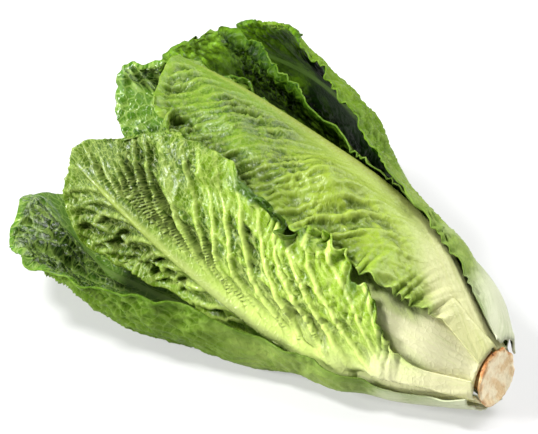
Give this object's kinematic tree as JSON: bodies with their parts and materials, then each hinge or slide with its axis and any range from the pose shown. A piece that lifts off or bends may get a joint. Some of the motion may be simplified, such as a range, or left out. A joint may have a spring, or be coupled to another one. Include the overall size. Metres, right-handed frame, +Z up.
{
  "type": "romaine lettuce head",
  "caption": "Long head of overlapping ribbed leaves round a cut stem, lying on its side as fresh produce.",
  "frame": {"origin": "bottom centre of the head's bounding box, on the surface it rests on", "axes": "+X along the head toward the cut stem, so leaf tips point to -X; +Z up; -Y is the side that faces the viewer's lower left"},
  "size_m": [0.3216, 0.2206, 0.1276],
  "materials": {
    "back_leaf": "satin deep green leaf",
    "far_wrapper": "satin deep green leaf",
    "front_leaf": "satin yellow-green leaf",
    "heart_leaf_far": "satin yellow-green leaf",
    "heart_leaf_inner_1": "satin pale yellow-green leaf",
    "heart_leaf_inner_2": "satin pale yellow-green leaf",
    "heart_leaf_inner_3": "satin pale yellow-green leaf",
    "heart_leaf_inner_4": "satin pale yellow-green leaf",
    "heart_leaf_inner_5": "satin pale yellow-green leaf",
    "heart_leaf_middle": "satin yellow-green leaf",
    "heart_leaf_under": "satin yellow-green leaf",
    "near_wrapper": "satin deep green leaf",
    "stem": "matte cut stem",
    "tall_leaf": "satin deep green leaf",
    "under_leaf": "satin deep green leaf",
    "upper_leaf": "satin yellow-green leaf"
  },
  "bodies": {
    "root": {"back_leaf": "back_leaf", "far_wrapper": "far_wrapper", "front_leaf": "front_leaf", "heart_leaf_far": "heart_leaf_far", "heart_leaf_inner_1": "heart_leaf_inner_1", "heart_leaf_inner_2": "heart_leaf_inner_2", "heart_leaf_inner_3": "heart_leaf_inner_3", "heart_leaf_inner_4": "heart_leaf_inner_4", "heart_leaf_inner_5": "heart_leaf_inner_5", "heart_leaf_middle": "heart_leaf_middle", "heart_leaf_under": "heart_leaf_under", "near_wrapper": "near_wrapper", "stem": "stem", "tall_leaf": "tall_leaf", "under_leaf": "under_leaf", "upper_leaf": "upper_leaf"}
  },
  "joints": []
}
